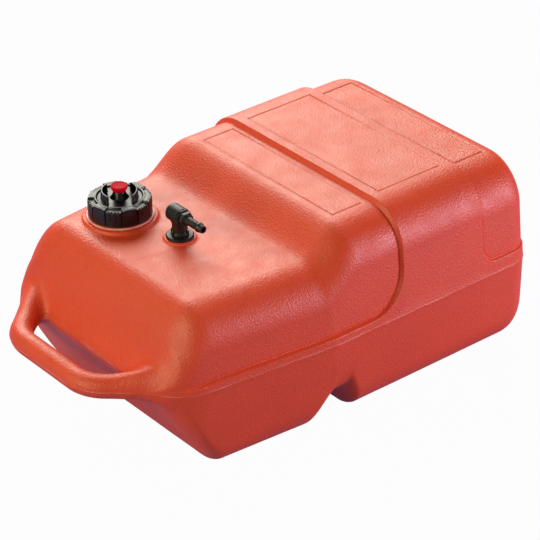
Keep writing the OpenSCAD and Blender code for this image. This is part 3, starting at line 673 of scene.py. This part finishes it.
def ridge(distance, half, edge):
    """1 in the middle of a notch, fading to 0 over its edge."""
    return 1 - ease((abs(distance) - half) / edge)


def from_mark(part, count=1):
    """Distance round the cap to the nearest of the marks that split a segment into equal parts."""
    share = (part * count) % 1
    return min(share, 1 - share) / count * SEGMENT * CAP_RADIUS


def notched(angle, r, h):
    """Moves a point of the turned cap for its slits and for the segments of its crown."""
    k = (angle - math.radians(CROWN_TURN)) / SEGMENT
    part, toothed = k % 1, math.floor(k) % 2 == 0
    from_end = from_mark(part)
    if r > 32 and 6.7 < h < 22.1:
        # Upright slits at the ends of each segment, with two finer grooves between them under the teeth
        over_foot = ease((h - 6.8) / 1.2)
        r -= 1.2 * ridge(from_end, 0.5, 0.4) * over_foot
        if toothed:
            r -= 0.6 * ridge(from_mark(part, 3), 0.25, 0.5) * over_foot
    if r > 25.2 and h > 20:
        if toothed:
            # Four notches make five teeth, on a rim that starts lower and rises outwards
            if 0.1 < part < 0.9:
                h -= 1.3 * ridge(from_mark(part, 5), 0.25, 0.45) * ease((r - 30.2) / 0.8)
            dip = 1.6 * ease((r - 25.6) / 0.8) - 1.8 * ease((r - 26.5) / 6.0) - 0.4 * ease((r - 31.2) / 1.6)
            h -= dip * ease(from_end / 0.4)
        else:
            # The smooth segments stand higher and end in a straight edge
            lift = ease(from_end / 0.6)
            h += (2.0 * ease((r - 25.8) / 5.0) + 0.7 * ease((r - 31.2) / 1.6)) * lift
            chord = 32.7 * math.cos(SEGMENT / 2) / math.cos((part - 0.5) * SEGMENT)
            r = min(r, mix(CAP_RADIUS, chord, lift * ease((h - 22.1) / 0.8)))
    return r, h


def cap():
    shell = turned("cap_shell_detail", cap_profile(), FILLER_DECK, count=720, shape=notched)
    for side in (0, 180):
        combine(shell, lug(math.radians(side + LUG_TURN)))
    phase = THREAD_PHASE + math.pi * 1.28  # sets the cap's ridge between two turns of the neck's
    combine(shell, helix("cap_thread", FILLER_DECK, root=29.7, crest=27.5, low=8.5, high=15.5, phase=phase))
    return shell


def lug(turn):
    """An upright curved finger lug with a rounded top."""
    base, height, bend, centre, half_chord = CAP_TOP, 8.6, 20.0, -2.3, 13.0
    spread = math.asin(half_chord / bend)
    top = base + height

    def arc(radius, angles):
        return [(centre + radius * math.cos(a), radius * math.sin(a)) for a in angles]

    def end(side, half, angles):
        """A half circle round one end of the lug's middle line."""
        tip = Vector((centre + bend * math.cos(spread), side * bend * math.sin(spread)))
        outwards = Vector((math.cos(spread), side * math.sin(spread)))
        along = Vector((-math.sin(spread), side * math.cos(spread)))
        return [tuple(tip + (outwards * math.cos(a) + along * math.sin(a)) * half) for a in angles[1:-1]]

    c, s = math.cos(turn), math.sin(turn)
    rings = []
    for z, half in (
        (base - 0.8, 2.3), (base + 0.05, 1.95), (base + 0.7, 1.55),
        (top - 1.6, 1.35), (top - 0.7, 1.2), (top - 0.2, 0.85), (top, 0.4),
    ):
        outline = arc(bend + half, steps(-spread, spread, 20)) + end(1, half, steps(0, math.pi, 8))
        outline += arc(bend - half, steps(spread, -spread, 20)) + end(-1, half, steps(math.pi, 0, 8))
        rings.append([(FILLER[0] + u * c - v * s, FILLER[1] + u * s + v * c, Z_DECK + z) for u, v in outline])
    return lofted("lug", rings)


def knob():
    return solid_turned("vent_knob_detail", rounded([
        (0, 33.1), (6.0, 33.1, 0.3), (6.2, 31.4, 0.3), (7.0, 31.4, 0.4), (8.5, 34.1, 0.5), (8.6, 36.9, 0.5),
        (7.7, 37.5, 0.5), (6.4, 37, 0.8), (0, 36.5)
    ], 0.4, 12, closed=False), FILLER_DECK)


# ---------------------------------------------------------------- the pickup
def polygon(sides, flats, turn=0.0):
    """A regular polygon, flats across, with its corners rounded."""
    r = flats / 2 / math.cos(math.pi / sides)
    angles = [2 * math.pi * i / sides + turn for i in range(sides)]
    return rounded([(r * math.cos(a), r * math.sin(a), 0.5) for a in angles], step=30)


def flange():
    return turned("pickup_bush_detail", rounded([
        (7, -8, 0.2), (7, 5.6, 0.4), (10.6, 5.6, 0.3), (10.9, 5.3, 0.2), (13.2, 5.3, 0.6),
        (14.4, 4.4, 0.4), (14.4, 3, 0.5), (10.5, 3, 0.2), (10.5, -11.5, 0.3), (6.9, -13, 0.3),
        (6.9, -20, 0.3), (4.85, -20, 0.2), (4.85, -14, 0.2), (PASSAGE, -14, 0.2), (PASSAGE, -8, 0.2)
    ], 0.3), PICKUP_DECK)


def elbow():
    stem = solid_turned("pickup_elbow_detail", rounded([
        (0, -7.6), (6.9, -7.6, 0.5), (6.9, 5.9, 0.0), (9.3, 5.9, 0.3), (9.3, 7, 0.5),
        (7.9, 8.4, 0.8), (7.7, OUTLET_HEIGHT, 0), (0, OUTLET_HEIGHT)
    ], 0.4, closed=False), PICKUP_DECK)
    lobe = rounded([(0, 6), (1.35, 6, 0.1), (1.35, 10.5, 0.6), (0, 10.5)], 0.3, closed=False)
    for i in range(6):
        a = math.pi / 3 * i
        place = (PICKUP[0] + 8.5 * math.cos(a), PICKUP[1] + 8.5 * math.sin(a), Z_DECK)
        combine(stem, solid_turned("lobe", lobe, place, count=24))
    side = 9.2
    front = rounded([(0, 5.5), (side, 5.5)], closed=False)
    wall = [(side, h) for h in steps(4.9, -9.5, 12)]
    back = rounded([
        (side, -9.6, 0), (9.0, -11.4, 1.2), (7.2, -13.0, 1.6), (4.5, -13.5, 2.0), (0, -13.5)
    ], closed=False)
    barrel = solid_turned("barrel", front + wall + back[1:], OUTLET, axis="y")
    stem = refine(stem, 1.1)
    melt(stem, refine(barrel, 1.1), fillet=3.2, relax=3)
    combine(stem, prism("collar", polygon(8, 16.8, math.pi / 8), 5.1, 8.0, 0.5, OUTLET))
    combine(stem, rod(PASSAGE, -1.0, 9.5, OUTLET, "y"), "DIFFERENCE")
    combine(stem, rod(5.35, 1.6, 9.5, OUTLET, "y"), "DIFFERENCE")
    combine(stem, rod(PASSAGE, -9.5, OUTLET_HEIGHT, PICKUP_DECK), "DIFFERENCE")
    return stem


def tail():
    root = 13.6
    pipe = turned("hose_tail_detail", rounded([
        (PASSAGE, 2.0, 0.2), (5.2, 2.0, 0.4), (5.2, root - 1, 0), (5.8, root - 1, 0), (5.8, root + 0.9, 0.3),
        (4.5, root + 2.0, 0.5), (4.3, root + 15.2, 0.2), (3.9, root + 15.5, 0.2), (3.9, root + 16.4, 0.2),
        (4.6, root + 16.9, 0.3), (5.2, root + 17.7, 0.5), (5.2, root + 19.7, 0.8), (4.4, root + 22.2, 0.8),
        (3.9, root + 25.6, 0.4), (3.5, root + 26, 0.3), (PASSAGE, root + 26, 0.3),
    ], 0.3), OUTLET, axis="y", count=72)
    nut = prism("nut", polygon(6, 14.0), 8.6, root, 0.5, OUTLET)
    combine(nut, rod(3.4, 6.5, 15.5, OUTLET, "y"), "DIFFERENCE")
    combine(pipe, nut)
    return pipe


# ---------------------------------------------------------------- materials
def nodes_of(name, colour, roughness, gloss_level=0.5, metallic=0.0):
    mat = bpy.data.materials.new(name)
    mat.use_nodes = True
    tree = mat.node_tree
    shader = tree.nodes["Principled BSDF"]
    shader.inputs["Base Color"].default_value = (*colour, 1)
    shader.inputs["Roughness"].default_value = roughness
    shader.inputs["Specular IOR Level"].default_value = gloss_level
    shader.inputs["Metallic"].default_value = metallic
    return mat, tree, shader


def node(tree, kind, **values):
    n = tree.nodes.new(kind)
    for key, value in values.items():
        if key in n.inputs:
            n.inputs[key].default_value = value
        else:
            setattr(n, key, value)
    return n


def math_node(tree, operation, a, b=None, limit=False):
    n = tree.nodes.new("ShaderNodeMath")
    n.operation, n.use_clamp = operation, limit
    for i, value in enumerate((a, b)):
        if value is None:
            continue
        if isinstance(value, (int, float)):
            n.inputs[i].default_value = value
        else:
            tree.links.new(value, n.inputs[i])
    return n.outputs[0]


def times(tree, a, b, limit=False):
    return math_node(tree, "MULTIPLY", a, b, limit)


def spread(tree, value, low, high, to_low, to_high):
    """Maps a value's range onto another and stops at its ends."""
    n = tree.nodes.new("ShaderNodeMapRange")
    n.inputs["From Min"].default_value, n.inputs["From Max"].default_value = low, high
    n.inputs["To Min"].default_value, n.inputs["To Max"].default_value = to_low, to_high
    tree.links.new(value, n.inputs["Value"])
    return n.outputs[0]


def tinted(tree, factor, a, b):
    """A colour between a and b, each a tuple or another node's output."""
    n = tree.nodes.new("ShaderNodeMix")
    n.data_type = "RGBA"
    tree.links.new(factor, n.inputs["Factor"])
    ins = [s for s in n.inputs if s.type == "RGBA"]
    for socket, value in zip(ins, (a, b)):
        if isinstance(value, tuple):
            socket.default_value = (*value, 1)
        else:
            tree.links.new(value, socket)
    return [s for s in n.outputs if s.type == "RGBA"][0]


def moulded(name, colour, roughness, grain, depth, fine, mottle, wear=None, flash=None, lip=None, **shine):
    """Moulded plastic, rubber or metal: a leather grain, a finer skin, mottled colour and gloss, and worn edges.

    grain, depth and fine are metres. wear, flash and lip are the colours of rubbed edges, of the parting line and of
    a highlight painted round the top edge of the neck's outer ring, just outside the cap."""
    mat, tree, shader = nodes_of(name, colour, roughness, **shine)
    place = node(tree, "ShaderNodeTexCoord").outputs["Object"]

    def noise_at(size, detail=3.0, rough=0.5):
        n = node(tree, "ShaderNodeTexNoise", Scale=1 / size, Detail=detail, Roughness=rough)
        tree.links.new(place, n.inputs["Vector"])
        return n.outputs["Fac"]

    def distance_from(axis, where):
        axes = node(tree, "ShaderNodeSeparateXYZ")
        tree.links.new(place, axes.inputs[0])
        return math_node(tree, "SUBTRACT", axes.outputs[axis], where * MM)

    cells = node(tree, "ShaderNodeTexVoronoi", feature="SMOOTH_F1", Scale=1 / grain, Smoothness=0.6, Randomness=1.0)
    tree.links.new(place, cells.inputs["Vector"])
    height = math_node(tree, "ADD", times(tree, cells.outputs["Distance"], 0.75), times(tree, noise_at(fine), 0.35))
    bump = node(tree, "ShaderNodeBump", Strength=1.0, Distance=depth)
    tree.links.new(height, bump.inputs["Height"])
    tree.links.new(bump.outputs["Normal"], shader.inputs["Normal"])

    broad = noise_at(0.05, 4.0, 0.55)
    dark, light = tuple(c * (1 - mottle) for c in colour), tuple(min(1, c * (1 + mottle)) for c in colour)
    shade = tinted(tree, spread(tree, broad, 0.35, 0.65, 0, 1), dark, light)
    if wear:
        edge = node(tree, "ShaderNodeNewGeometry").outputs["Pointiness"]
        patches = spread(tree, noise_at(0.008), 0.4, 0.7, 0.1, 1)
        shade = tinted(tree, times(tree, spread(tree, edge, 0.52, 0.60, 0, 1), patches, True), shade, wear)
    if flash:
        off = math_node(tree, "ABSOLUTE", distance_from("Z", Z_PARTING))
        line = spread(tree, off, 0.0003, 0.0009, 1, 0)
        patches = spread(tree, noise_at(0.03, 1.0), 0.42, 0.6, 0.0, 0.8)
        shade = tinted(tree, times(tree, line, patches, True), shade, flash)
    if lip:
        # A pale ring painted round the top edge of the neck's outer ring, just outside the cap: a painted highlight
        # line, not a colour of the plastic
        outs = (distance_from("X", FILLER[0]), distance_from("Y", FILLER[1]))
        off = math_node(tree, "SQRT", math_node(tree, "ADD", *(math_node(tree, "POWER", out, 2.0) for out in outs)))
        wide = times(tree, spread(tree, off, 0.0332, 0.0335, 0, 1), spread(tree, off, 0.0352, 0.0354, 1, 0), True)
        high = spread(tree, distance_from("Z", Z_DECK), 0.0040, 0.0043, 0, 1)
        patches = spread(tree, noise_at(0.01), 0.3, 0.6, 0.55, 1)
        shade = tinted(tree, times(tree, times(tree, wide, high), patches, True), shade, lip)
    tree.links.new(shade, shader.inputs["Base Color"])
    uneven = spread(tree, noise_at(0.02, 5.0), 0.3, 0.7, roughness - 0.05, roughness + 0.07)
    gloss = math_node(tree, "ADD", uneven, times(tree, cells.outputs["Distance"], 0.06))
    tree.links.new(gloss, shader.inputs["Roughness"])
    return mat


# Colour, roughness, grain, depth of the grain, size of the finer skin, mottling, and what only some have
LOOKS = {
    # For the tank, the pale pink of lip is a painted highlight round the top edge of the neck's outer ring
    "tank_plastic": ((0.80, 0.066, 0.010), 0.45, 0.0020, 0.00045, 0.0008, 0.03, {
        "wear": (0.88, 0.20, 0.11), "flash": (0.88, 0.22, 0.14), "lip": (0.90, 0.55, 0.50), "gloss_level": 0.8}),
    "black_plastic": ((0.005, 0.005, 0.007), 0.3, 0.0016, 0.00003, 0.0005, 0.15, {"wear": (0.07, 0.07, 0.075)}),
    "dull_plastic": ((0.006, 0.006, 0.008), 0.41, 0.0012, 0.00005, 0.0004, 0.15, {"wear": (0.06, 0.06, 0.06)}),
    "knob_plastic": ((0.62, 0.002, 0.022), 0.55, 0.0014, 0.00002, 0.0005, 0.05, {
        "wear": (0.60, 0.02, 0.04), "gloss_level": 0.06}),
    "seal_rubber": ((0.012, 0.012, 0.012), 0.7, 0.0008, 0.00003, 0.0003, 0.2, {}),
    "stem_brass": ((0.72, 0.48, 0.18), 0.28, 0.0008, 0.00001, 0.0002, 0.08, {"metallic": 1.0}),
    "clip_steel": ((0.60, 0.61, 0.63), 0.3, 0.0006, 0.00001, 0.0002, 0.08, {"metallic": 1.0}),
    "tube_plastic": ((0.70, 0.69, 0.60), 0.5, 0.0018, 0.00003, 0.0006, 0.05, {}),
    "screen_plastic": ((0.58, 0.54, 0.38), 0.6, 0.0007, 0.0002, 0.0003, 0.1, {}),
}
MATERIALS = {name: moulded(name, *look, **more) for name, (*look, more) in LOOKS.items()}


def finish(obj, name, body, slot, replaced, material=None, sharp=38.0):
    """Scales a piece to metres, shades it and puts it on its body."""
    obj.name = name
    obj.data.transform(Matrix.Scale(MM, 4))
    obj.data.name = name
    obj.data.shade_smooth()
    obj.data.set_sharp_from_angle(angle=math.radians(sharp))
    obj.data.materials.clear()
    obj.data.materials.append(MATERIALS[material or slot])
    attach(obj, body)
    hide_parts(replaced)


finish(tank(), "tank_skin", "tank", "tank_plastic", "tank_body", sharp=50)
finish(cap(), "screw_cap", "cap", "black_plastic", "cap_shell")
finish(knob(), "vent_button", "vent", "knob_plastic", "vent_knob")
finish(flange(), "pickup_flange", "tank", "black_plastic", "pickup_bush", "dull_plastic")
finish(elbow(), "elbow_moulding", "elbow", "black_plastic", "pickup_elbow", "dull_plastic")
finish(tail(), "barbed_tail", "elbow", "black_plastic", "hose_tail", "dull_plastic")

slots = {s["node"]: s["material_slot"] for s in frame["record"]["subparts"]}
for name, obj in frame["nodes"].items():
    obj.data.materials.clear()
    obj.data.materials.append(MATERIALS[slots[name]])


# ---------------------------------------------------------------- stage, light and camera
def stage():
    """A floor that glows white for the camera, faintly in reflections, and sends back a dim bluish light."""
    as_seen, in_reflections = 0.975, 0.3
    bpy.ops.mesh.primitive_plane_add(size=8)
    floor = bpy.context.object
    floor.name = "floor"
    mat, tree, shader = nodes_of("floor_white", (0.28, 0.27, 0.42), 0.9, gloss_level=0.0)
    glow = node(tree, "ShaderNodeEmission", Strength=1.0)
    both = node(tree, "ShaderNodeMixShader")
    rays = node(tree, "ShaderNodeLightPath").outputs
    white = tinted(tree, rays["Is Glossy Ray"], (1.0, 1.0, 1.0), (0.62, 0.52, 1.0))
    tree.links.new(white, glow.inputs["Color"])
    camera_part = times(tree, rays["Is Camera Ray"], as_seen)
    seen = math_node(tree, "ADD", camera_part, times(tree, rays["Is Glossy Ray"], in_reflections), True)
    tree.links.new(seen, both.inputs[0])
    tree.links.new(shader.outputs[0], both.inputs[1])
    tree.links.new(glow.outputs[0], both.inputs[2])
    tree.links.new(both.outputs[0], tree.nodes["Material Output"].inputs["Surface"])
    floor.data.materials.append(mat)


def sky():
    """White where the camera sees it, and a soft warm light everywhere else."""
    world = bpy.data.worlds.new("world")
    bpy.context.scene.world = world
    world.use_nodes = True
    tree = world.node_tree
    soft = tree.nodes["Background"]
    soft.inputs["Color"].default_value = (1.0, 0.96, 0.90, 1)
    soft.inputs["Strength"].default_value = 0.12
    white = node(tree, "ShaderNodeBackground", Color=(1, 1, 1, 1), Strength=1.0)
    path = node(tree, "ShaderNodeLightPath")
    both = node(tree, "ShaderNodeMixShader")
    tree.links.new(path.outputs["Is Camera Ray"], both.inputs[0])
    tree.links.new(soft.outputs[0], both.inputs[1])
    tree.links.new(white.outputs[0], both.inputs[2])
    tree.links.new(both.outputs[0], tree.nodes["World Output"].inputs["Surface"])


def lamp(name, place, target, size, power, colour):
    data = bpy.data.lights.new(name, "AREA")
    data.shape, data.size, data.energy, data.color = "DISK", size, power, colour
    obj = bpy.data.objects.new(name, data)
    obj.location = place
    obj.rotation_mode = "QUATERNION"
    obj.rotation_quaternion = (Vector(target) - Vector(place)).to_track_quat("-Z", "Y")
    bpy.context.scene.collection.objects.link(obj)


def camera():
    """The camera that was fitted to the photo."""
    az, el, roll = (math.radians(a) for a in (-38.731, 30.959, -0.959))
    lens, place = 172.53, (-1.4179, -1.8078, 1.4843)
    right = Vector((math.cos(az), math.sin(az), 0))
    back = Vector((math.sin(az) * math.cos(el), -math.cos(az) * math.cos(el), math.sin(el)))
    up = back.cross(right)
    across = right * math.cos(roll) + up * math.sin(roll)
    above = up * math.cos(roll) - right * math.sin(roll)
    data = bpy.data.cameras.new("camera")
    data.lens, data.sensor_width, data.clip_start, data.clip_end = lens, 36, 0.05, 50
    obj = bpy.data.objects.new("camera", data)
    matrix = Matrix((across, above, back)).transposed().to_4x4()
    matrix.translation = Vector(place)
    obj.matrix_world = matrix
    bpy.context.scene.collection.objects.link(obj)
    bpy.context.scene.camera = obj


stage()
sky()
lamp("back_sheen", (0.98, 2.00, 1.62), (0, 0, 0.15), 2.3, 79, (1.0, 0.99, 0.87))
lamp("left", (-2.0, 0.1, 0.95), (-0.1, 0, 0.12), 1.6, 28, (1.0, 0.89, 0.58))
lamp("right_rear", (1.3, -1.5, 0.5), (0.25, -0.1, 0.1), 0.8, 24, (1.0, 0.80, 1.0))
lamp("front_fill", (-0.2, -2.3, 0.6), (0.1, 0, 0.1), 1.4, 1.5, (1.0, 0.92, 0.98))
camera()
bpy.context.scene.view_settings.view_transform = "Standard"
